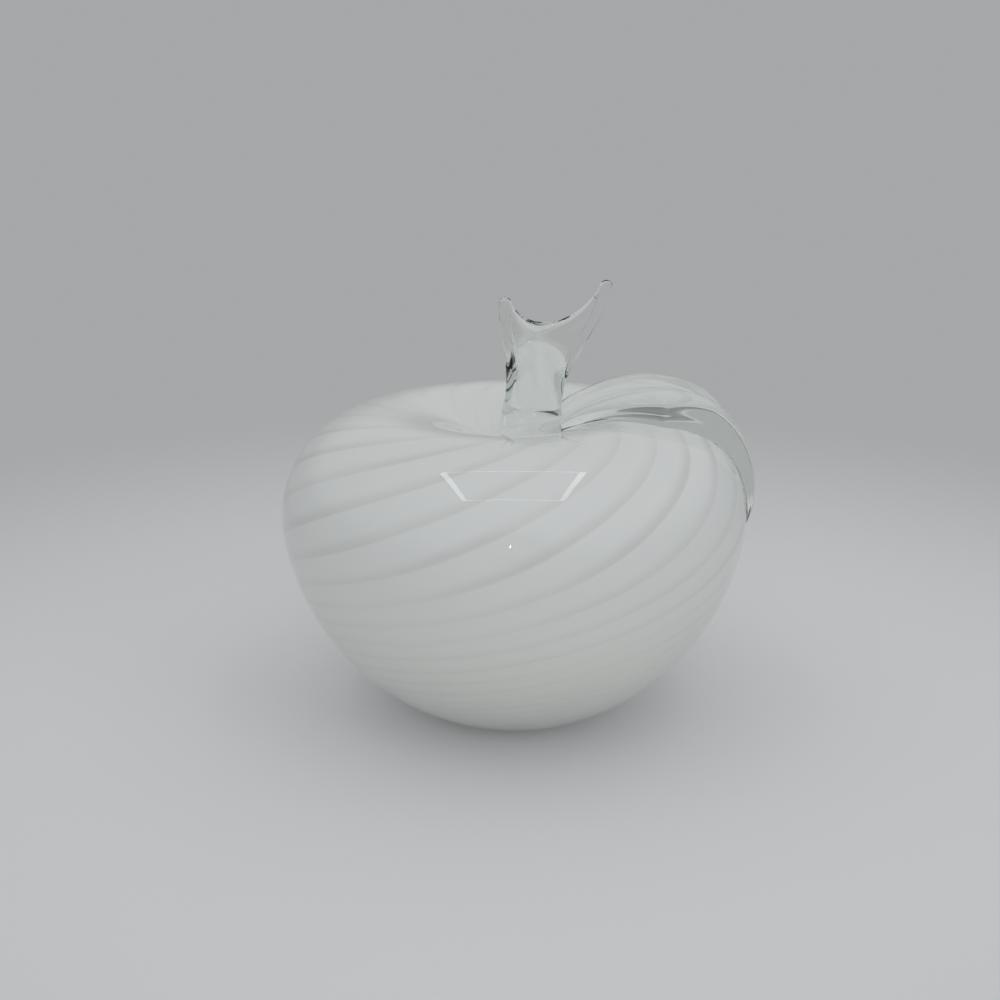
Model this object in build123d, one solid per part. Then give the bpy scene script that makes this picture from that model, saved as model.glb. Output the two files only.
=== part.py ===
from build123d import *
from cmath import phase, rect
from math import acos, asin, atan2, ceil, cos, degrees, pi, radians, sin, sqrt
import os

# A hand-blown glass apple, in millimetres. The origin is the centre of the base, +Z is up,
# and the leaf falls over the +X shoulder. Half-plane points are complex numbers: radius + 1j * height.

# Body form: tangent arcs from the dimple over the crest and the belly down to the base
body_radius = 57.0
belly_height = 50.0
shoulder_radius = 25.8
dimple_depth = 11.1         # from the crest down to the neck
side_radius = 59.5
base_edge_radius = 13.4
base_radius = 17.9
punt_radius = 11.0
punt_depth = 1.2

# Layers of the blown wall, from outside to inside
casing_wall = 2.4
swirl_layer = 2.2
bubble_wall = 2.0
layer_gap = 0.1

# Swirl of white rods, flattened between the layers
cane_count = 18
cane_thickness = 0.9
cane_fill = 0.85            # share of the pitch that a rod covers
cane_start_radius = 8.0     # rods end at this ring in the dimple
cane_end_radius = 24.0      # and at this ring near the base
swirl_start = 13.0          # turn of the first rod at the crest, degrees from the leaf
swirl_turn = 178.5          # steady turn from the crest to the lower ends, degrees
swirl_tighten = 191.0       # further turn there, as the twist tightens lower down
cane_bend = 22.5            # mean turn between two cuts of a rod, degrees
cane_crowding = 0.8         # under 1, cuts lie closer lower down, where the twist is fast

# Neck hole and the bit of glass that seals it
neck_radius = 3.5
seat_gap = 0.05
seat_sink = 1.5             # how far pad and leaf are drawn below the wall, before they are seated
plug_tail = 1.5             # how far the shank hangs inside the bubble
pad_lean = 4.4              # the bit is pulled this far towards the leaf
pad_foot_radius = 8.3
pad_top_radius = 7.8
pad_rise = 2.7              # the pad's top stands this far over the wall, on the leaf's side

# Forked stem, from the pad up: a round column that flattens into two horns, as (sideways, up)
stem_foot_width = 15.1
stem_depth = 11.5
left_waist = (-4.2, 12.5)
left_flare = (-7.8, 16.0)
left_tip = (-6.35, 27.6)
saddle_left = (-1.8, 21.2)
saddle_right = (9.5, 20.6)
right_tip = (17.7, 31.6)
right_flare = (16.5, 19.5)
right_waist = (6.2, 13.0)
fork = (3.0, 16.5)               # where the horns part, inside the glass
tip_radius = 1.45
horn_taper = 3                   # how fast the horns draw in towards front and back
stem_levels = (0.0, 0.4, 0.75, 0.95)   # shares of the half depth that carry an outline

# Leaf, laid along the wall from the pad to the belly
leaf_tuck = 2.4             # the root starts this far inside the pad's rim, before it is seated
leaf_tip_reach = 42.0       # along the wall from the crest to the tip
leaf_widest = 0.39          # share of the length where the leaf is widest
leaf_width = 34.0
leaf_root_width = 18.0
leaf_tip_width = 2.0
leaf_taper = 1.2            # how fast it narrows from there to the tip
leaf_thickest = 0.55        # share of the length where the leaf is thickest
leaf_thickness = 7.2
leaf_root_thickness = 3.0
leaf_tip_thickness = 0.8
leaf_droop = 1.0            # how fast it thins from there to the tip
leaf_edge = 0.55            # share of the thickness left at the two long edges
leaf_shift = 2.0            # the leaf lies this far behind the X axis
leaf_bow = 3.2              # its middle bows out further on the way
leaf_tip_shift = -4.0
leaf_sections = 7
groove_depth = 1.0
groove_place = 0.34         # from the middle, as a share of the half width
lobe_place = 0.68

# Worked-out places of the arcs
crest_radius = body_radius - shoulder_radius
crest_height = belly_height + shoulder_radius
shoulder_centre = complex(crest_radius, belly_height)
edge_centre = complex(base_radius, base_edge_radius)


def tangent_centre(centre_a, radius_a, centre_b, radius_b, radius):
    """Centre of the arc of the given radius that holds two smaller arcs and lies on the axis side of them."""
    span = centre_b - centre_a
    reach_a = radius - radius_a
    reach_b = radius - radius_b
    along = (abs(span) ** 2 + reach_a ** 2 - reach_b ** 2) / (2 * abs(span))
    return centre_a + span / abs(span) * complex(along, -sqrt(reach_a ** 2 - along ** 2))


side_centre = tangent_centre(shoulder_centre, shoulder_radius, edge_centre, base_edge_radius, side_radius)
side_top = phase(shoulder_centre - side_centre)
side_bottom = phase(edge_centre - side_centre)
shoulder_length = shoulder_radius * (pi / 2 - side_top)
side_length = side_radius * (side_top - side_bottom)
dimple_span = crest_radius - neck_radius
neck_turn = 2 * atan2(dimple_depth, dimple_span)


def dimple_arc(depth):
    """Centre, radius and turn of the dimple's arc from crest to neck, at a depth under the wall."""
    drop = dimple_depth + depth * (1 / cos(neck_turn) - 1)
    turn = 2 * atan2(drop, dimple_span)
    radius = drop / (1 - cos(turn))
    return complex(crest_radius, crest_height - depth - radius), radius, turn


dimple_radius = dimple_arc(0)[1]


def dimple_reach(radius):
    """Reach along the wall, from the crest into the dimple, to a ring of this radius."""
    return -dimple_radius * asin((crest_radius - radius) / dimple_radius)


def wall_point(reach, depth=0.0):
    """Half-plane point at a reach along the wall from the crest, at a depth under it, and its normal."""
    if reach < 0:
        centre, radius, turn = dimple_arc(depth)
        angle = pi / 2 + turn * reach / dimple_reach(neck_radius)
    elif reach < shoulder_length:
        centre, radius, angle = shoulder_centre, shoulder_radius - depth, pi / 2 - reach / shoulder_radius
    elif reach < shoulder_length + side_length:
        centre, radius = side_centre, side_radius - depth
        angle = side_top - (reach - shoulder_length) / side_radius
    else:
        centre, radius = edge_centre, base_edge_radius - depth
        angle = side_bottom - (reach - shoulder_length - side_length) / base_edge_radius
    return centre + rect(radius, angle), rect(1, angle)


def wall_plane(point, normal):
    """Plane square to the wall at a half-plane point: X runs around the body, Y stands out from the wall."""
    return Plane(origin=(point.real, 0, point.imag), x_dir=(0, 1, 0), z_dir=(normal.imag, 0, -normal.real))


def arc(centre, radius, start, end):
    return CenterArc((centre.real, centre.imag), radius, degrees(start), degrees(end - start))


def wall_section(depth, punt=False):
    """Half section of everything inside the wall at a depth under the outer surface."""
    dimple_centre, radius, turn = dimple_arc(depth)
    rim = dimple_centre + rect(radius, pi / 2 + turn)
    lines = [
        arc(edge_centre, base_edge_radius - depth, -pi / 2, side_bottom),
        arc(side_centre, side_radius - depth, side_bottom, side_top),
        arc(shoulder_centre, shoulder_radius - depth, side_top, pi / 2),
        arc(dimple_centre, radius, pi / 2, pi / 2 + turn),
        Line((rim.real, rim.imag), (0, rim.imag)),
    ]
    if punt:
        cap_radius = (punt_radius ** 2 + punt_depth ** 2) / (2 * punt_depth)
        cap_angle = asin(punt_radius / cap_radius)
        lines += [
            Line((0, rim.imag), (0, punt_depth)),
            arc(complex(0, punt_depth - cap_radius), cap_radius, pi / 2, pi / 2 - cap_angle),
            Line((punt_radius, 0), (base_radius, 0)),
        ]
    else:
        lines += [Line((0, rim.imag), (0, depth)), Line((0, depth), (base_radius, depth))]
    return make_face([Plane.XZ * line for line in lines])


def layer(outer_depth, inner_depth, punt=False):
    """One shell of the blown wall, open at the neck."""
    neck = Plane.XZ * Pos(0, crest_height) * Rectangle(2 * neck_radius, 2 * shoulder_radius)
    return revolve(wall_section(outer_depth, punt) - wall_section(inner_depth) - neck, Axis.Z)


# Blown wall
cane_depth = casing_wall + layer_gap
bubble_depth = casing_wall + swirl_layer
inside_depth = bubble_depth + bubble_wall

clear_casing = layer(0, casing_wall, punt=True)
inner_bubble = layer(bubble_depth, inside_depth)


# Swirl
cane_start = dimple_reach(cane_start_radius)
cane_fall = side_top + acos((cane_end_radius - side_centre.real) / side_radius)
cane_end = shoulder_length + side_radius * cane_fall


def twist(reach):
    share = reach / cane_end
    return swirl_start - swirl_turn * share - swirl_tighten * share ** 3


def cane_ring(reach):
    """Four corners of a rod cut square to the wall, with its outer corners just under the casing."""
    outer, normal = wall_point(reach, cane_depth)
    half = outer.real * radians(360 / cane_count * cane_fill / 2)
    sag = half ** 2 * normal.real / outer.real / 2
    plane = wall_plane(outer, normal)
    corners = [(-half, -sag), (half, -sag), (half, -sag - cane_thickness), (-half, -sag - cane_thickness)]
    return [plane.from_local_coords(Vector(*corner)).rotate(Axis.Z, twist(reach)) for corner in corners]


def polygon(*points):
    return Face(Wire.make_polygon(points))


def folded(a, b, c, d):
    """Two flat facets over four corners, folded along the shorter diagonal."""
    if (c - a).length < (d - b).length:
        return [polygon(a, b, c), polygon(a, c, d)]
    return [polygon(a, b, d), polygon(b, c, d)]


def faceted_rod(rings):
    """Closed strip of flat facets through rings of four corners."""
    facets = [polygon(*rings[0]), polygon(*rings[-1])]
    for ring, after in zip(rings, rings[1:]):
        for i in range(4):
            facets += folded(ring[i - 1], ring[i], after[i], after[i - 1])
    return Solid(Shell(facets))


cane_cuts = ceil((twist(cane_start) - twist(cane_end)) / cane_bend)
cane_shares = [(i / cane_cuts) ** cane_crowding for i in range(cane_cuts + 1)]
cane = faceted_rod([cane_ring(cane_start + (cane_end - cane_start) * share) for share in cane_shares])
canes = {f"opal_cane_{i + 1:02d}": Rot(0, 0, 360 / cane_count * i) * cane for i in range(cane_count)}


# Neck plug: a pad that leans towards the leaf, on a shank through the neck hole
def disc(radius, x, height):
    return Pos(x, 0, height) * Circle(radius)


def pad_blank(grow=0.0):
    """The pad before it is seated, or the space that it needs."""
    return loft([
        disc(pad_foot_radius + grow, pad_lean, neck_height - seat_sink),
        disc(pad_top_radius + grow, pad_lean, pad_top_height),
    ])


neck_height = crest_height - dimple_depth
pad_rim = pad_lean + pad_foot_radius
pad_top_height = wall_point(dimple_reach(pad_rim))[0].imag + pad_rise
seat = revolve(wall_section(-seat_gap), Axis.Z)
shank_foot = wall_point(dimple_reach(neck_radius), inside_depth)[0].imag
shank_length = neck_height + seat_sink - shank_foot + plug_tail
shank = Pos(0, 0, shank_foot - plug_tail) * extrude(Circle(neck_radius - seat_gap), shank_length)
neck_plug = pad_blank() - seat + shank


# Forked stem: outlines at levels of the depth, full in the middle and drawn in towards front and back
def stem_outline(level):
    """Face of the stem at a share of its half depth, as seen from the front."""
    column = sqrt(1 - level ** 2)
    horn = column ** horn_taper

    def narrow(point):
        return Vector(point[0] * column, point[1])

    def draw_in(point):
        return Vector(*fork) + (Vector(*point) - Vector(*fork)) * horn

    foot = Vector(stem_foot_width / 2 * column, 0)
    half_tip = Vector(tip_radius * horn, 0)
    left, right = draw_in(left_tip), draw_in(right_tip)
    outline = [
        Line(-foot, foot),
        Bezier(foot, narrow(right_waist), draw_in(right_flare), right + half_tip),
        Line(right + half_tip, right - half_tip),
        Bezier(right - half_tip, draw_in(saddle_right), draw_in(saddle_left), left + half_tip),
        Line(left + half_tip, left - half_tip),
        Bezier(left - half_tip, draw_in(left_flare), narrow(left_waist), -foot),
    ]
    return Plane.XZ.offset(-stem_depth / 2 * level) * make_face(outline)


both_sides = sorted({-level for level in stem_levels} | set(stem_levels))
stem_blank = loft([stem_outline(level) for level in both_sides], ruled=True)
beads = [Pos(x, 0, z) * Sphere(tip_radius) for x, z in (left_tip, right_tip)]
stem = Pos(pad_lean, 0, pad_top_height) * (stem_blank + beads)


# Leaf: lobed sections along the wall, seated on the body and against the pad
leaf_root_reach = dimple_reach(pad_rim - leaf_tuck)


def swell(share, full_share):
    """Smooth growth from nothing at the root to all of it at a share of the length."""
    return (1 - cos(pi * min(1.0, share / full_share))) / 2


def leaf_section(share):
    """Closed section of the leaf at a share of its length from root to tip."""
    reach = leaf_root_reach + (leaf_tip_reach - leaf_root_reach) * share
    point, normal = wall_point(reach)
    plane = wall_plane(point, normal)
    fall = max(0.0, (share - leaf_widest) / (1 - leaf_widest))
    droop = max(0.0, (share - leaf_thickest) / (1 - leaf_thickest))
    width = leaf_root_width + (leaf_width - leaf_root_width) * swell(share, leaf_widest)
    width += (leaf_tip_width - leaf_width) * fall ** leaf_taper
    thick = leaf_root_thickness + (leaf_thickness - leaf_root_thickness) * swell(share, leaf_thickest)
    thick += (leaf_tip_thickness - leaf_thickness) * droop ** leaf_droop
    middle = leaf_shift + leaf_bow * sin(pi * fall) + (leaf_tip_shift - leaf_shift) * fall ** 2
    groove = groove_depth * thick / leaf_thickness

    def lift(v, height):
        y = middle + v * width / 2
        return (y, height - y ** 2 * normal.real / point.real / 2)

    top = [
        lift(-1, thick * leaf_edge),
        lift(-lobe_place, thick - groove / 2),
        lift(-groove_place, thick - groove),
        lift(0, thick),
        lift(groove_place, thick - groove),
        lift(lobe_place, thick - groove / 2),
        lift(1, thick * leaf_edge),
    ]
    lines = [
        Spline(*top),
        Line(top[-1], lift(1, -seat_sink)),
        Line(lift(1, -seat_sink), lift(-1, -seat_sink)),
        Line(lift(-1, -seat_sink), top[0]),
    ]
    return plane * make_face(lines)


leaf_blank = loft([leaf_section(i / (leaf_sections - 1)) for i in range(leaf_sections)])
stem_space = Pos(pad_lean, 0, pad_top_height) * extrude(Circle(pad_top_radius + seat_gap), left_tip[1])
leaf = leaf_blank - seat - pad_blank(seat_gap) - stem_space

nodes = {
    "clear_casing": clear_casing,
    "inner_bubble": inner_bubble,
    "neck_plug": neck_plug,
    "stem": stem,
    "leaf": leaf,
    **canes,
}

os.makedirs("parts", exist_ok=True)
for name, solid in nodes.items():
    export_step(solid, f"parts/{name}.step")
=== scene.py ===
import bpy
import bmesh
import math
from cmath import phase, rect
from mathutils import Matrix, Vector


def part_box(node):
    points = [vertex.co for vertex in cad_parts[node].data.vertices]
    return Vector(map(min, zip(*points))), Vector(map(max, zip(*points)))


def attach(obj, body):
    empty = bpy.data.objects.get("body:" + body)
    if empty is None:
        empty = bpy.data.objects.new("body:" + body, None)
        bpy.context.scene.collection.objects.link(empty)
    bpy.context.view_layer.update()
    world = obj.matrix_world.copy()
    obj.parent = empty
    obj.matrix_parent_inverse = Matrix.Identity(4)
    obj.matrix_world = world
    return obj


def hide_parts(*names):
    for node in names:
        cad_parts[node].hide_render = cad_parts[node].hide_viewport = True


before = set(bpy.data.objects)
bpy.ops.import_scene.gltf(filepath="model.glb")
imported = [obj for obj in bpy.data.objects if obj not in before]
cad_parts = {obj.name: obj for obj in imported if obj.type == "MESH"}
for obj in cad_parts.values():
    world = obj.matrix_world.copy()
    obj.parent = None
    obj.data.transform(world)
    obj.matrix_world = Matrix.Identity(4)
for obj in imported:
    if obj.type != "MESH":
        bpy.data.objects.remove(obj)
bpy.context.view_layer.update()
scene = bpy.context.scene
mm = 0.001                 # sizes below are in millimetres, meshes in metres
weldNear = 0.001           # spots closer than this become one
print("frame loaded:", len(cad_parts), "nodes")


# Shader wiring: a Wire is one socket that takes part in sums, a Look is one node tree
class Wire:
    def __init__(self, look, socket):
        self.look = look
        self.socket = socket

    def join(self, operation, first, second):
        return self.look.add("Math", {"operation": operation}, {0: first, 1: second})

    def __add__(self, other):
        return self.join("ADD", self, other)

    def __radd__(self, other):
        return self.join("ADD", other, self)

    def __sub__(self, other):
        return self.join("SUBTRACT", self, other)

    def __rsub__(self, other):
        return self.join("SUBTRACT", other, self)

    def __mul__(self, other):
        return self.join("MULTIPLY", self, other)

    def __rmul__(self, other):
        return self.join("MULTIPLY", other, self)


class Look:
    def __init__(self, tree):
        self.tree = tree
        tree.nodes.clear()

    def add(self, kind, settings={}, values={}, out=0):
        node = self.tree.nodes.new("ShaderNode" + kind)
        for name, value in settings.items():
            if name == "stops":
                self.setStops(node.color_ramp, value)
            else:
                setattr(node, name, value)
        for name, value in values.items():
            if isinstance(value, Wire):
                self.tree.links.new(value.socket, node.inputs[name])
            else:
                node.inputs[name].default_value = value
        return Wire(self, node.outputs[out]) if node.outputs else None

    def setStops(self, ramp, stops):
        while len(ramp.elements) < len(stops):
            ramp.elements.new(1.0)
        for element, (place, colour) in zip(ramp.elements, stops):
            element.position = place
            element.color = colour

    def mixColour(self, share, first, second):
        return self.add("Mix", {"data_type": "RGBA"}, {0: share, 6: first, 7: second}, 2)

    def step(self, value, start, end):
        settings = {"interpolation_type": "SMOOTHSTEP"}
        return self.add("MapRange", settings, {"Value": value, "From Min": start, "From Max": end})


def newLook(name):
    material = bpy.data.materials.new(name)
    material.use_nodes = True
    return material, Look(material.node_tree)


# Mesh helpers
def skinRings(rings, weld=0.0):
    bm = bmesh.new()
    rows = [[bm.verts.new(spot) for spot in ring] for ring in rings]
    for row, after in zip(rows, rows[1:]):
        for i in range(len(row)):
            bm.faces.new((row[i - 1], row[i], after[i], after[i - 1]))
    if weld:
        bmesh.ops.remove_doubles(bm, verts=bm.verts, dist=weld)
    bmesh.ops.holes_fill(bm, edges=[edge for edge in bm.edges if edge.is_boundary])
    bmesh.ops.recalc_face_normals(bm, faces=bm.faces)
    return bm


def toMesh(bm, name):
    mesh = bpy.data.meshes.new(name)
    bm.to_mesh(mesh)
    bm.free()
    mesh.shade_smooth()
    return mesh


def addPiece(mesh, look, slot, *nodes):
    piece = bpy.data.objects.new(mesh.name, mesh)
    scene.collection.objects.link(piece)
    mesh.materials.append(look)
    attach(piece, "root")
    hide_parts(*nodes)
    return piece


def spread(start, end, count):
    return [start + (end - start) * i / (count - 1) for i in range(count)]


def swell(share, full):
    # smooth growth from 0 to 1 at the full share
    return (1 - math.cos(math.pi * min(1.0, share / full))) / 2


def turned(radius, height, angle):
    return Vector((radius * math.cos(angle), radius * math.sin(angle), height)) * mm


# Finishes: clear glass with faint waves and clouds of tint
glassFinish = dict(tint=(0.98, 0.995, 0.985, 1.0), clear=(0.995, 1.0, 0.998, 1.0), index=1.5,
                   waveScale=70.0, waveHeight=0.00012, waveStrength=0.35, tintScale=40.0,
                   tintRange=(0.35, 0.7), roughRange=(0.45, 0.8), roughness=0.005, roughMore=0.02,
                   green=(0.55, 0.80, 0.66, 1.0))
casingFinish = dict(waves=0.4)
appliedFinish = dict(waves=0.25, depthOfGreen=4.0)


def clearGlass(name, waves, depthOfGreen=0.0):
    f = glassFinish
    material, look = newLook(name)
    place = look.add("TexCoord", out="Object")
    cloud = look.add("TexNoise", {}, {"Vector": place, "Scale": f["tintScale"], "Detail": 2.0})
    colour = look.mixColour(look.step(cloud, *f["tintRange"]), f["clear"], f["tint"])
    ripple = look.add("TexNoise", {}, {"Vector": place, "Scale": f["waveScale"], "Detail": 1.5})
    bump = look.add("Bump", {}, {"Strength": f["waveStrength"] * waves, "Distance": f["waveHeight"],
                                 "Height": ripple})
    rough = f["roughness"] + f["roughMore"] * look.step(cloud, *f["roughRange"])
    glass = look.add("BsdfPrincipled", {}, {"Base Color": colour, "Roughness": rough, "IOR": f["index"],
                                            "Transmission Weight": 1.0, "Normal": bump})
    # light on its way to the white layer goes straight through
    through = look.add("BsdfTransparent")
    diffuse = look.add("LightPath", out="Is Diffuse Ray")
    shadow = look.add("LightPath", out="Is Shadow Ray")
    inside = look.add("MixShader", {}, {0: diffuse, 1: glass, 2: through})
    ends = {"Surface": look.add("MixShader", {}, {0: shadow, 1: inside, 2: through})}
    if depthOfGreen:
        ends["Volume"] = look.add("VolumeAbsorption", {}, {"Color": f["green"], "Density": depthOfGreen})
    look.add("OutputMaterial", {}, ends)
    return material


# White glass: along runs from 0 in the dimple to 1 at the base, across from -1 to 1 over a ribbon
opalFinish = dict(white=(0.645, 0.66, 0.655, 1.0), shade=(0.55, 0.565, 0.555, 1.0),
                  low=(0.69, 0.695, 0.665, 1.0), lowRange=(0.42, 0.72),
                  streakAcross=2.5, streakAlong=9.0, streakRod=3.7, streakRange=(0.5, 0.75),
                  streakShare=0.3, patchAlong=5.0, patchRod=2.3, patchRange=(0.35, 0.62), patchFaint=0.45,
                  dimpleFaint=0.12, dimpleRange=(0.16, 0.34), bellyLoss=0.72, bellyRange=(0.46, 0.62),
                  wander=0.35, lineRange=(0.1, 0.86), lineEnd=(0.86, 1.0), roughness=0.45, roughMore=0.2)


def opalWhite():
    f = opalFinish
    material, look = newLook("opalWhite")
    across = look.add("Attribute", {"attribute_name": "across"}, {}, "Fac")
    along = look.add("Attribute", {"attribute_name": "along"}, {}, "Fac")
    rod = look.add("Attribute", {"attribute_name": "rod"}, {}, "Fac")
    streakPlace = look.add("CombineXYZ", {}, {0: across * f["streakAcross"], 1: along * f["streakAlong"],
                                              2: rod * f["streakRod"]})
    streak = look.add("TexNoise", {}, {"Vector": streakPlace, "Scale": 1.0, "Detail": 3.0})
    patchPlace = look.add("CombineXYZ", {}, {0: along * f["patchAlong"], 1: rod * f["patchRod"]})
    patch = look.add("TexNoise", {}, {"Vector": patchPlace, "Scale": 1.0, "Detail": 1.0})
    # the lines are clear over the shoulder and faint in the dimple and below the belly
    dimple = f["dimpleFaint"] + (1 - f["dimpleFaint"]) * look.step(along, *f["dimpleRange"])
    belly = 1 - f["bellyLoss"] * look.step(along, *f["bellyRange"])
    patchy = f["patchFaint"] + (1 - f["patchFaint"]) * look.step(patch, *f["patchRange"])
    wander = across + f["wander"] * (streak - 0.5)
    edge = look.step(wander, *f["lineRange"]) * (1 - look.step(across, *f["lineEnd"]))
    body = look.mixColour(look.step(along, *f["lowRange"]), f["white"], f["low"])
    lined = look.mixColour(edge * (dimple * belly * patchy), body, f["shade"])
    colour = look.mixColour(f["streakShare"] * look.step(streak, *f["streakRange"]), lined, f["low"])
    rough = f["roughness"] + f["roughMore"] * streak
    opal = look.add("BsdfPrincipled", {}, {"Base Color": colour, "Roughness": rough,
                                           "Specular IOR Level": 0.0})
    look.add("OutputMaterial", {}, {"Surface": opal})
    return material


bodyGlass = clearGlass("casingGlass", **casingFinish)
stemGlass = clearGlass("appliedGlass", **appliedFinish)
whiteGlass = opalWhite()
print("finishes ready")


# Body: one blown wall, as half-plane points radius + 1j * height, in arcs from the axis to the base
bodyForm = dict(shoulder=25.8, dimple=40.0, side=59.5, edge=13.4, base=17.9,
                puntRadius=11.0, puntDepth=1.2, puntSteps=12, wall=6.6, steps=160, turns=192)
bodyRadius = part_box("clear_casing")[1].y / mm
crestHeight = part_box("clear_casing")[1].z / mm
shoulderCentre = complex(bodyRadius - bodyForm["shoulder"], crestHeight - bodyForm["shoulder"])
dimpleCentre = complex(shoulderCentre.real, crestHeight - bodyForm["dimple"])
edgeCentre = complex(bodyForm["base"], bodyForm["edge"])


def sideArcCentre():
    # the side arc holds the shoulder arc and the base edge arc
    span = edgeCentre - shoulderCentre
    reachA = bodyForm["side"] - bodyForm["shoulder"]
    reachB = bodyForm["side"] - bodyForm["edge"]
    along = (abs(span) ** 2 + reachA ** 2 - reachB ** 2) / (2 * abs(span))
    return shoulderCentre + span / abs(span) * complex(along, -math.sqrt(reachA ** 2 - along ** 2))


sideCentre = sideArcCentre()
sideTop = phase(shoulderCentre - sideCentre)
sideBottom = phase(edgeCentre - sideCentre)
neckTurn = math.asin(shoulderCentre.real / bodyForm["dimple"])
bodyArcs = [
    (dimpleCentre, bodyForm["dimple"], math.pi / 2 + neckTurn, math.pi / 2),
    (shoulderCentre, bodyForm["shoulder"], math.pi / 2, sideTop),
    (sideCentre, bodyForm["side"], sideTop, sideBottom),
    (edgeCentre, bodyForm["edge"], sideBottom, -math.pi / 2),
]
neckReach = -bodyForm["dimple"] * neckTurn        # reach is measured along the wall from the crest
baseReach = sum(radius * (start - end) for _, radius, start, end in bodyArcs[1:])


def wallPoint(reach, depth=0.0):
    along = reach - neckReach
    for centre, radius, start, end in bodyArcs:
        angle = start - along / radius
        if angle >= end:
            break
        along -= radius * (start - end)
    return centre + rect(radius - depth, angle), rect(1, angle)


def heightOver(radius, height):
    spot = complex(radius, height)
    for centre, size, start, end in bodyArcs:
        if phase(spot - centre) >= end:
            break
    return abs(spot - centre) - size


def reachAt(radius):
    return -bodyForm["dimple"] * math.asin((shoulderCentre.real - radius) / bodyForm["dimple"])


def revolved(profile):
    angles = [2 * math.pi * i / bodyForm["turns"] for i in range(bodyForm["turns"])]
    return skinRings([[turned(p.real, p.imag, a) for a in angles] for p in profile], weld=weldNear * mm)


def blownBody():
    f = bodyForm
    reaches = spread(neckReach, baseReach, f["steps"])
    outer = [wallPoint(reach)[0] for reach in reaches]
    outer[0] = complex(0, outer[0].imag)
    capRadius = (f["puntRadius"] ** 2 + f["puntDepth"] ** 2) / (2 * f["puntDepth"])
    for radius in spread(f["puntRadius"], 0.0, f["puntSteps"]):
        rise = math.sqrt(capRadius ** 2 - radius ** 2) - capRadius
        outer.append(complex(radius, f["puntDepth"] + rise))
    inner = [wallPoint(reach, f["wall"])[0] for reach in reaches]
    inner = [complex(0, inner[0].imag)] + inner + [complex(0, f["wall"])]
    bm = revolved(outer)
    hollow = revolved(inner)
    bmesh.ops.reverse_faces(hollow, faces=hollow.faces)
    hollowMesh = toMesh(hollow, "hollow")
    bm.from_mesh(hollowMesh)
    bpy.data.meshes.remove(hollowMesh)
    return toMesh(bm, "glassBody")


addPiece(blownBody(), bodyGlass, "casing_glass", "clear_casing", "inner_bubble")
print("body blown, radius", round(bodyRadius, 2), "mm, crest at", round(crestHeight, 2), "mm")


# Swirl: each white rod is a flat ribbon in the wall, lapped under the next one
swirl = dict(start=11.6, rate=1.75, growth=0.00018, lap=1.01, depthHigh=2.4, depthLow=2.45, thick=0.9,
             topRadius=1.5, steps=150, strips=10, ease=8.0, easeAt=47.0, easeWidth=17.0,
             sway=7.0, swayAt=205.0, swayWidth=40.0, dimpleSink=1.2, sinkReach=14.0, sharpEdge=50)
rodNames = sorted(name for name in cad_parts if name.startswith("opal_cane"))
halfPitch = 180 / len(rodNames)


def twist(reach):
    return swirl["start"] - swirl["rate"] * reach - swirl["growth"] * reach ** 3


def handTurned(reach, turn):
    # the twist eases below the shoulder and sways on one side, as worked by hand
    f = swirl
    turn += twist(reach) + f["ease"] * math.exp(-((reach - f["easeAt"]) / f["easeWidth"]) ** 2)
    away = (turn - f["swayAt"] + 180) % 360 - 180
    return math.radians(turn - f["sway"] * math.exp(-(away / f["swayWidth"]) ** 2))


def ribbonRing(reach, rodTurn):
    f = swirl
    upper = spread(-f["lap"], f["lap"], f["strips"])
    ring = []
    for across, sunk in [(v, 0.0) for v in upper] + [(v, f["thick"]) for v in reversed(upper)]:
        share = (across + 1) / 2
        depth = f["depthHigh"] + (f["depthLow"] - f["depthHigh"]) * share + sunk
        depth += f["dimpleSink"] * swell(max(0.0, -reach), f["sinkReach"])
        point = wallPoint(reach, depth)[0]
        turn = handTurned(reach, rodTurn + across * halfPitch)
        ring.append((across, turned(point.real, point.imag, turn)))
    return ring


def opalRibbon(number):
    reaches = spread(reachAt(swirl["topRadius"]), baseReach, swirl["steps"])
    rings = [ribbonRing(reach, 2 * halfPitch * number) for reach in reaches]
    skin = skinRings([[spot for _, spot in ring] for ring in rings])
    mesh = toMesh(skin, f"opalRibbon{number + 1:02d}")
    mesh.set_sharp_from_angle(angle=math.radians(swirl["sharpEdge"]))
    marks = {
        "across": [across for ring in rings for across, _ in ring],
        "along": [i / (len(rings) - 1) for i, ring in enumerate(rings) for _ in ring],
        "rod": [float(number) for ring in rings for _ in ring],
    }
    for name, values in marks.items():
        mesh.attributes.new(name, "FLOAT", "POINT").data.foreach_set("value", values)
    return mesh


for number, rodName in enumerate(rodNames):
    addPiece(opalRibbon(number), whiteGlass, "opal_glass", rodName)
print("swirl laid:", len(rodNames), "ribbons")


# Neck pad and forked stem in one skin: a bit dropped on the neck, and a column pulled out of it
# that thins upwards and flattens into two horns, as (sideways, up) from the pad's top
padForm = dict(footRadius=8.3, topRadius=7.5, bulge=0.4, sink=0.9, feather=6, rise=14, floor=12)
stemForm = dict(footHalf=7.5, depthHalf=7.4, web=1.0, rim=1.9, rimShare=0.13, thinning=0.75, squeeze=3.2,
                lean=-0.34, tip=1.5, round=14.0, tipShare=0.16,
                leftWaist=(-4.2, 12.5), leftFlare=(-7.8, 16.0), leftTip=(-6.35, 27.6),
                saddleLeft=(-1.8, 21.2), saddleRight=(9.5, 20.6), rightTip=(17.7, 31.6),
                rightFlare=(16.5, 19.5), rightWaist=(6.2, 13.0), around=256, rise=110, weld=0.004)
plugLow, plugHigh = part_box("neck_plug")
padTop = plugHigh.z / mm
padX = (plugLow.x + plugHigh.x) / 2 / mm


def aroundStem(spotAt):
    # a closed ring of spots, from the front round by the right
    return [spotAt(2 * math.pi * i / stemForm["around"]) * mm for i in range(stemForm["around"])]


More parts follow.
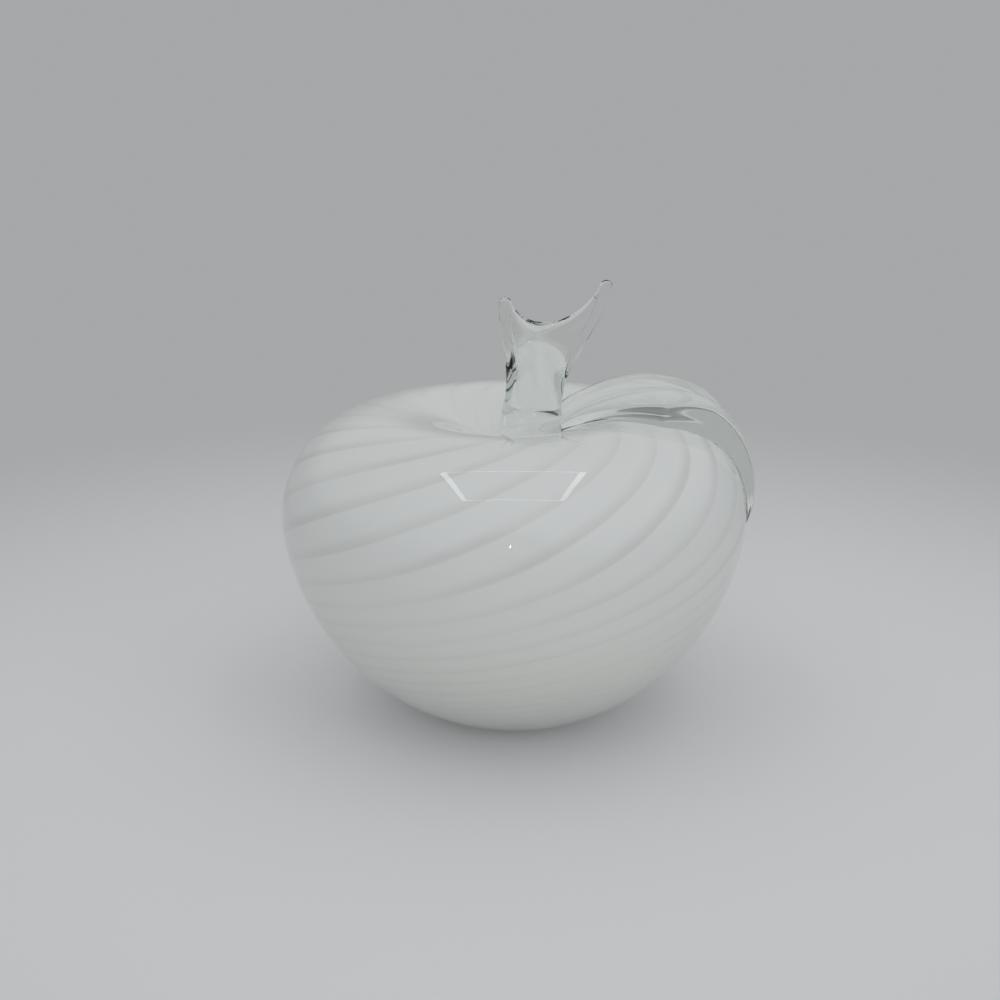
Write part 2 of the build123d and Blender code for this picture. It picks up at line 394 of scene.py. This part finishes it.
def padRing(radius, lift, sunk=0.0):
    # lift runs from 0 on the wall to 1 at the pad's top
    def spotAt(turn):
        x, y = padX + radius * math.sin(turn), -radius * math.cos(turn)
        foot = wallPoint(reachAt(math.hypot(x, y)))[0].imag - sunk
        return Vector((x, y, foot + (padTop - foot) * lift))
    return aroundStem(spotAt)


def padRings():
    f = padForm
    rings = [padRing(f["footRadius"] * share, 0.0, f["sink"] * (1 - share ** f["feather"]))
             for share in spread(0.0, 1.0, f["floor"])[:-1]]
    for lift in spread(0.0, 1.0, f["rise"])[:-1]:
        radius = f["footRadius"] + (f["topRadius"] - f["footRadius"]) * lift
        rings.append(padRing(radius + f["bulge"] * math.sin(math.pi * lift), lift))
    return rings


def bezier(points, share):
    spots = [Vector(point) for point in points]
    while len(spots) > 1:
        spots = [a.lerp(b, share) for a, b in zip(spots, spots[1:])]
    return spots[0]


def stemTop(share):
    # round left tip, saddle, round right tip
    f = stemForm
    left, right = Vector(f["leftTip"]), Vector(f["rightTip"])
    side = Vector((f["tip"], 0))
    for tip, local in ((left, share / f["tipShare"]), (right, 1 - (1 - share) / f["tipShare"])):
        if 0 <= local <= 1:
            angle = math.pi * (1 - local)
            return tip + Vector((math.cos(angle), math.sin(angle))) * f["tip"]
    local = (share - f["tipShare"]) / (1 - 2 * f["tipShare"])
    return bezier((left + side, f["saddleLeft"], f["saddleRight"], right - side), local)


def stemSpot(share, rise):
    # a patch between foot, sides and top
    f = stemForm
    side = Vector((f["tip"], 0))
    footLeft, footRight = Vector((-f["footHalf"], 0)), Vector((f["footHalf"], 0))
    left = bezier((footLeft, f["leftWaist"], f["leftFlare"], Vector(f["leftTip"]) - side), rise)
    right = bezier((footRight, f["rightWaist"], f["rightFlare"], Vector(f["rightTip"]) + side), rise)
    foot = footLeft.lerp(footRight, share)
    top = stemTop(share)
    corners = foot.lerp(stemTop(0.0).lerp(stemTop(1.0), share), rise)
    return foot.lerp(top, rise) + left.lerp(right, share) - corners


def stemRing(rise):
    # a thick ridge that narrows upwards, thin webs beside it and a bead along the rim
    f = stemForm
    ridge = (f["depthHalf"] - f["web"]) * (1 - rise) ** f["thinning"]
    bead = (f["rim"] - f["web"]) * math.exp(-((1 - rise) / f["rimShare"]) ** 2)
    close = math.sqrt(max(0.0, 1 - rise ** f["round"]))

    def spotAt(turn):
        narrow = math.exp(-((math.sin(turn) - f["lean"] * rise) * f["squeeze"] * rise) ** 2)
        depth = (f["web"] + bead + ridge * narrow) * close
        spot = stemSpot((1 + math.sin(turn)) / 2, rise)
        return Vector((padX + spot.x, -depth * math.cos(turn), padTop + spot.y))
    return aroundStem(spotAt)


def forkedStem():
    rises = [1 - (1 - level) ** 2 for level in spread(0.0, 1.0, stemForm["rise"])]
    rings = padRings() + [stemRing(rise) for rise in rises]
    return toMesh(skinRings(rings, weld=stemForm["weld"] * mm), "forkedStem")


addPiece(forkedStem(), stemGlass, "applied_glass", "neck_plug", "stem")


# Leaf: a pressed bit with two grooves, laid along the wall over the shoulder
leafForm = dict(root=-22.0, tip=43.3, widest=0.39, width=34.0, rootWidth=18.0, tipWidth=2.6, taper=1.2,
                thickest=0.55, thick=7.4, rootThick=3.0, tipThick=0.5, droop=1.15, shift=2.0, bow=3.2,
                tipShift=-4.0, sink=0.25, feather=6, square=7.0, grooveDepth=1.7, groovePlace=0.34,
                grooveWidth=0.075, rootRound=0.1, tipRound=0.1, flare=0.03, flareHeight=0.6, settle=6,
                steps=130, over=84, under=18)


def endRound(share):
    near = min(1.0, share / leafForm["rootRound"], (1 - share) / leafForm["tipRound"])
    return math.sqrt(1 - (1 - near) ** 2)


def overWall(point, normal, sideways, height):
    # the spot at this height over the body, out along the wall's normal
    lift = height
    for _ in range(leafForm["settle"]):
        out = point + normal * lift
        lift += height - heightOver(math.hypot(out.real, sideways), out.imag)
    out = point + normal * lift
    return Vector((out.real, sideways, out.imag)) * mm


def leafRing(share):
    f = leafForm
    point, normal = wallPoint(f["root"] + (f["tip"] - f["root"]) * share)
    fall = max(0.0, (share - f["widest"]) / (1 - f["widest"]))
    droop = max(0.0, (share - f["thickest"]) / (1 - f["thickest"]))
    width = f["rootWidth"] + (f["width"] - f["rootWidth"]) * swell(share, f["widest"])
    width += (f["tipWidth"] - f["width"]) * fall ** f["taper"]
    thick = f["rootThick"] + (f["thick"] - f["rootThick"]) * swell(share, f["thickest"])
    thick += (f["tipThick"] - f["thick"]) * droop ** f["droop"]
    middle = f["shift"] + f["bow"] * math.sin(math.pi * fall) + (f["tipShift"] - f["shift"]) * fall ** 2
    width *= endRound(share)
    thick *= endRound(share)
    ring = []
    for turn in spread(0.0, math.pi, f["over"]):
        side = math.copysign(abs(math.cos(turn)) ** (2 / f["square"]), math.cos(turn))
        height = thick * max(0.0, math.sin(turn)) ** (2 / f["square"])
        for place in (-f["groovePlace"], f["groovePlace"]):
            groove = math.exp(-((side - place) / f["grooveWidth"]) ** 2)
            height -= f["grooveDepth"] * groove * thick / f["thick"]
        side *= 1 + f["flare"] * math.exp(-max(0.0, height) / f["flareHeight"])
        ring.append(overWall(point, normal, middle + side * width / 2, height))
    foot = 1 + f["flare"]
    for side in spread(-foot, foot, f["under"]):
        sunk = f["sink"] * (1 - abs(side / foot) ** f["feather"])
        ring.append(overWall(point, normal, middle + side * width / 2, -sunk))
    return ring


def ribbedLeaf():
    rings = [leafRing(share) for share in spread(0.0, 1.0, leafForm["steps"])]
    return toMesh(skinRings(rings, weld=weldNear * mm), "ribbedLeaf")


addPiece(ribbedLeaf(), stemGlass, "applied_glass", "leaf")
print("leaf laid")


# Floor and backdrop
# near is the paper's own colour; far is a flat grey glow painted as shade beyond the pool
stageForm = dict(radius=3.0, drop=0.0003, near=(0.68, 0.69, 0.705, 1.0), far=(0.385, 0.39, 0.395, 1.0),
                 pool=(0.10, 0.34), edges=96, grainScale=900.0, roughness=0.8, roughMore=0.1, gloss=0.2)


def seenRay(look):
    # camera, reflected and refracted rays see the backdrop, light for the object comes from the rest
    camera = look.add("LightPath", out="Is Camera Ray")
    glossy = look.add("LightPath", out="Is Glossy Ray")
    through = look.add("LightPath", out="Is Transmission Ray")
    bent = look.add("Math", {"operation": "MAXIMUM"}, {0: glossy, 1: through})
    return look.add("Math", {"operation": "MAXIMUM"}, {0: camera, 1: bent})


def paperFloor():
    f = stageForm
    bm = bmesh.new()
    bmesh.ops.create_circle(bm, cap_ends=True, segments=f["edges"], radius=f["radius"])
    floor = bpy.data.objects.new("paperFloor", toMesh(bm, "paperFloor"))
    floor.location.z = -f["drop"]
    scene.collection.objects.link(floor)
    material, look = newLook("paperSheet")
    place = look.add("TexCoord", out="Object")
    away = look.add("VectorMath", {"operation": "LENGTH"}, {0: place}, "Value")
    grain = look.add("TexNoise", {}, {"Vector": place, "Scale": f["grainScale"], "Detail": 2.0})
    rough = f["roughness"] + f["roughMore"] * grain
    paper = look.add("BsdfPrincipled", {}, {"Base Color": f["near"], "Roughness": rough,
                                            "Specular IOR Level": f["gloss"]})
    # past the pool, camera and mirrored rays see a flat grey glow instead of the lit paper: painted shade
    # for the dimmer far floor and backdrop
    paintedFarShade = look.add("Emission", {}, {"Color": f["far"]})
    share = look.step(away, *f["pool"]) * seenRay(look)
    sheet = look.add("MixShader", {}, {0: share, 1: paper, 2: paintedFarShade})
    look.add("OutputMaterial", {}, {"Surface": sheet})
    floor.data.materials.append(material)


paperFloor()

roomLight = dict(ambient=(0.66, 0.665, 0.67, 1.0), wall=(0.385, 0.39, 0.395, 1.0), wallTop=0.57,
                 tent=(0.66, 0.665, 0.67, 1.0), tentStart=0.68, gap=(0.24, 0.245, 0.245, 1.0),
                 gapFacing=(0.0, -0.94, 0.34), gapRange=(0.93, 0.97))


def studioWorld():
    # a pale tent that is open at the front
    f = roomLight
    world = bpy.data.worlds.new("studio")
    world.use_nodes = True
    scene.world = world
    look = Look(world.node_tree)
    direction = look.add("TexCoord", out="Generated")
    up = look.add("SeparateXYZ", {}, {0: direction}, "Z")
    stops = [(0.0, f["wall"]), (f["wallTop"], f["wall"]), (f["tentStart"], f["tent"]), (1.0, f["tent"])]
    tent = look.add("ValToRGB", {"stops": stops}, {"Fac": 0.5 + 0.5 * up})
    dot = {"operation": "DOT_PRODUCT"}
    facing = look.add("VectorMath", dot, {0: direction, 1: f["gapFacing"]}, "Value")
    camera = look.add("LightPath", out="Is Camera Ray")
    picture = look.mixColour(look.step(facing, *f["gapRange"]) * (1 - camera), tent, f["gap"])
    room = look.add("Background", {}, {"Color": f["ambient"]})
    seen = look.add("Background", {}, {"Color": picture})
    whole = look.add("MixShader", {}, {0: seenRay(look), 1: room, 2: seen})
    look.add("OutputWorld", {}, {"Surface": whole})


studioWorld()


def softBox(name, place, aim, width, height, power, mirrored=True):
    lamp = bpy.data.lights.new(name, "AREA")
    lamp.shape = "RECTANGLE"
    lamp.size = width
    lamp.size_y = height
    lamp.energy = power
    box = bpy.data.objects.new(name, lamp)
    box.location = place
    box.rotation_euler = (Vector(aim) - Vector(place)).to_track_quat("-Z", "Y").to_euler()
    box.visible_glossy = mirrored
    box.visible_transmission = mirrored
    scene.collection.objects.link(box)


# the ceiling lamp is a frame of four strips
lampFrame = dict(left=-0.195, right=0.19, back=0.085, front=-0.25, height=0.6, strip=0.006, sideStrip=0.022,
                 level=10.5)


def ceilingLamp():
    f = lampFrame
    across, along = f["right"] - f["left"], f["back"] - f["front"]
    middleX, middleY = (f["left"] + f["right"]) / 2, (f["back"] + f["front"]) / 2
    strips = [("lampBack", middleX, f["back"], across, f["strip"]),
              ("lampFront", middleX, f["front"], across, f["strip"]),
              ("lampLeft", f["left"], middleY, f["sideStrip"], along),
              ("lampRight", f["right"], middleY, f["sideStrip"], along)]
    for name, x, y, width, length in strips:
        softBox(name, (x, y, f["height"]), (x, y, 0.0), width, length, f["level"] * width * length)


ceilingLamp()
# two soft fills that leave no mark on the glass, and one small lamp that does
fillLights = dict(aim=(0.0, 0.0, 0.05), size=0.4, frontPlace=(0.0, -0.8, 0.35), frontPower=0.63,
                  rightPlace=(0.6, -0.5, 0.4), rightPower=0.52)
sparkle = dict(place=(-0.0116, -0.519, 0.244), aim=(0.0, -0.05, 0.06), width=0.009, height=0.009,
               power=0.025)
for side in ("front", "right"):
    softBox(side + "Fill", fillLights[side + "Place"], fillLights["aim"], fillLights["size"],
            fillLights["size"], fillLights[side + "Power"], mirrored=False)
softBox("sparkle", **sparkle)

# Camera: the photograph's height, distance and aim, with the image taken as a square
cameraForm = dict(target=(0.0, 0.0, 0.040), elevation=18.46, distance=0.375048, lens=54.0, sensor=36.0,
                  side=1000.0, aimAcross=513.82, aimDown=548.431, clipStart=0.01)


def photoCamera():
    f = cameraForm
    slope = math.radians(f["elevation"])
    back = Vector((0, -math.cos(slope), math.sin(slope)))
    right = Vector((1, 0, 0))
    up = back.cross(right)
    pixels = f["side"] * f["lens"] / f["sensor"]
    yaw = math.atan((f["aimAcross"] - f["side"] / 2) / pixels)
    pitch = math.atan((f["aimDown"] - f["side"] / 2) / pixels)
    ahead = -back * math.cos(pitch) + up * math.sin(pitch)
    top = up * math.cos(pitch) + back * math.sin(pitch)
    aim = ahead * math.cos(yaw) - right * math.sin(yaw)
    across = right * math.cos(yaw) + ahead * math.sin(yaw)
    data = bpy.data.cameras.new("camera")
    data.lens = f["lens"]
    data.sensor_width = f["sensor"]
    data.clip_start = f["clipStart"]
    camera = bpy.data.objects.new("camera", data)
    turn = Matrix((across, top, -aim)).transposed().to_4x4()
    camera.matrix_world = Matrix.Translation(Vector(f["target"]) + back * f["distance"]) @ turn
    scene.collection.objects.link(camera)
    scene.camera = camera


photoCamera()
scene.view_settings.view_transform = "Standard"
print("stage, light and camera ready")
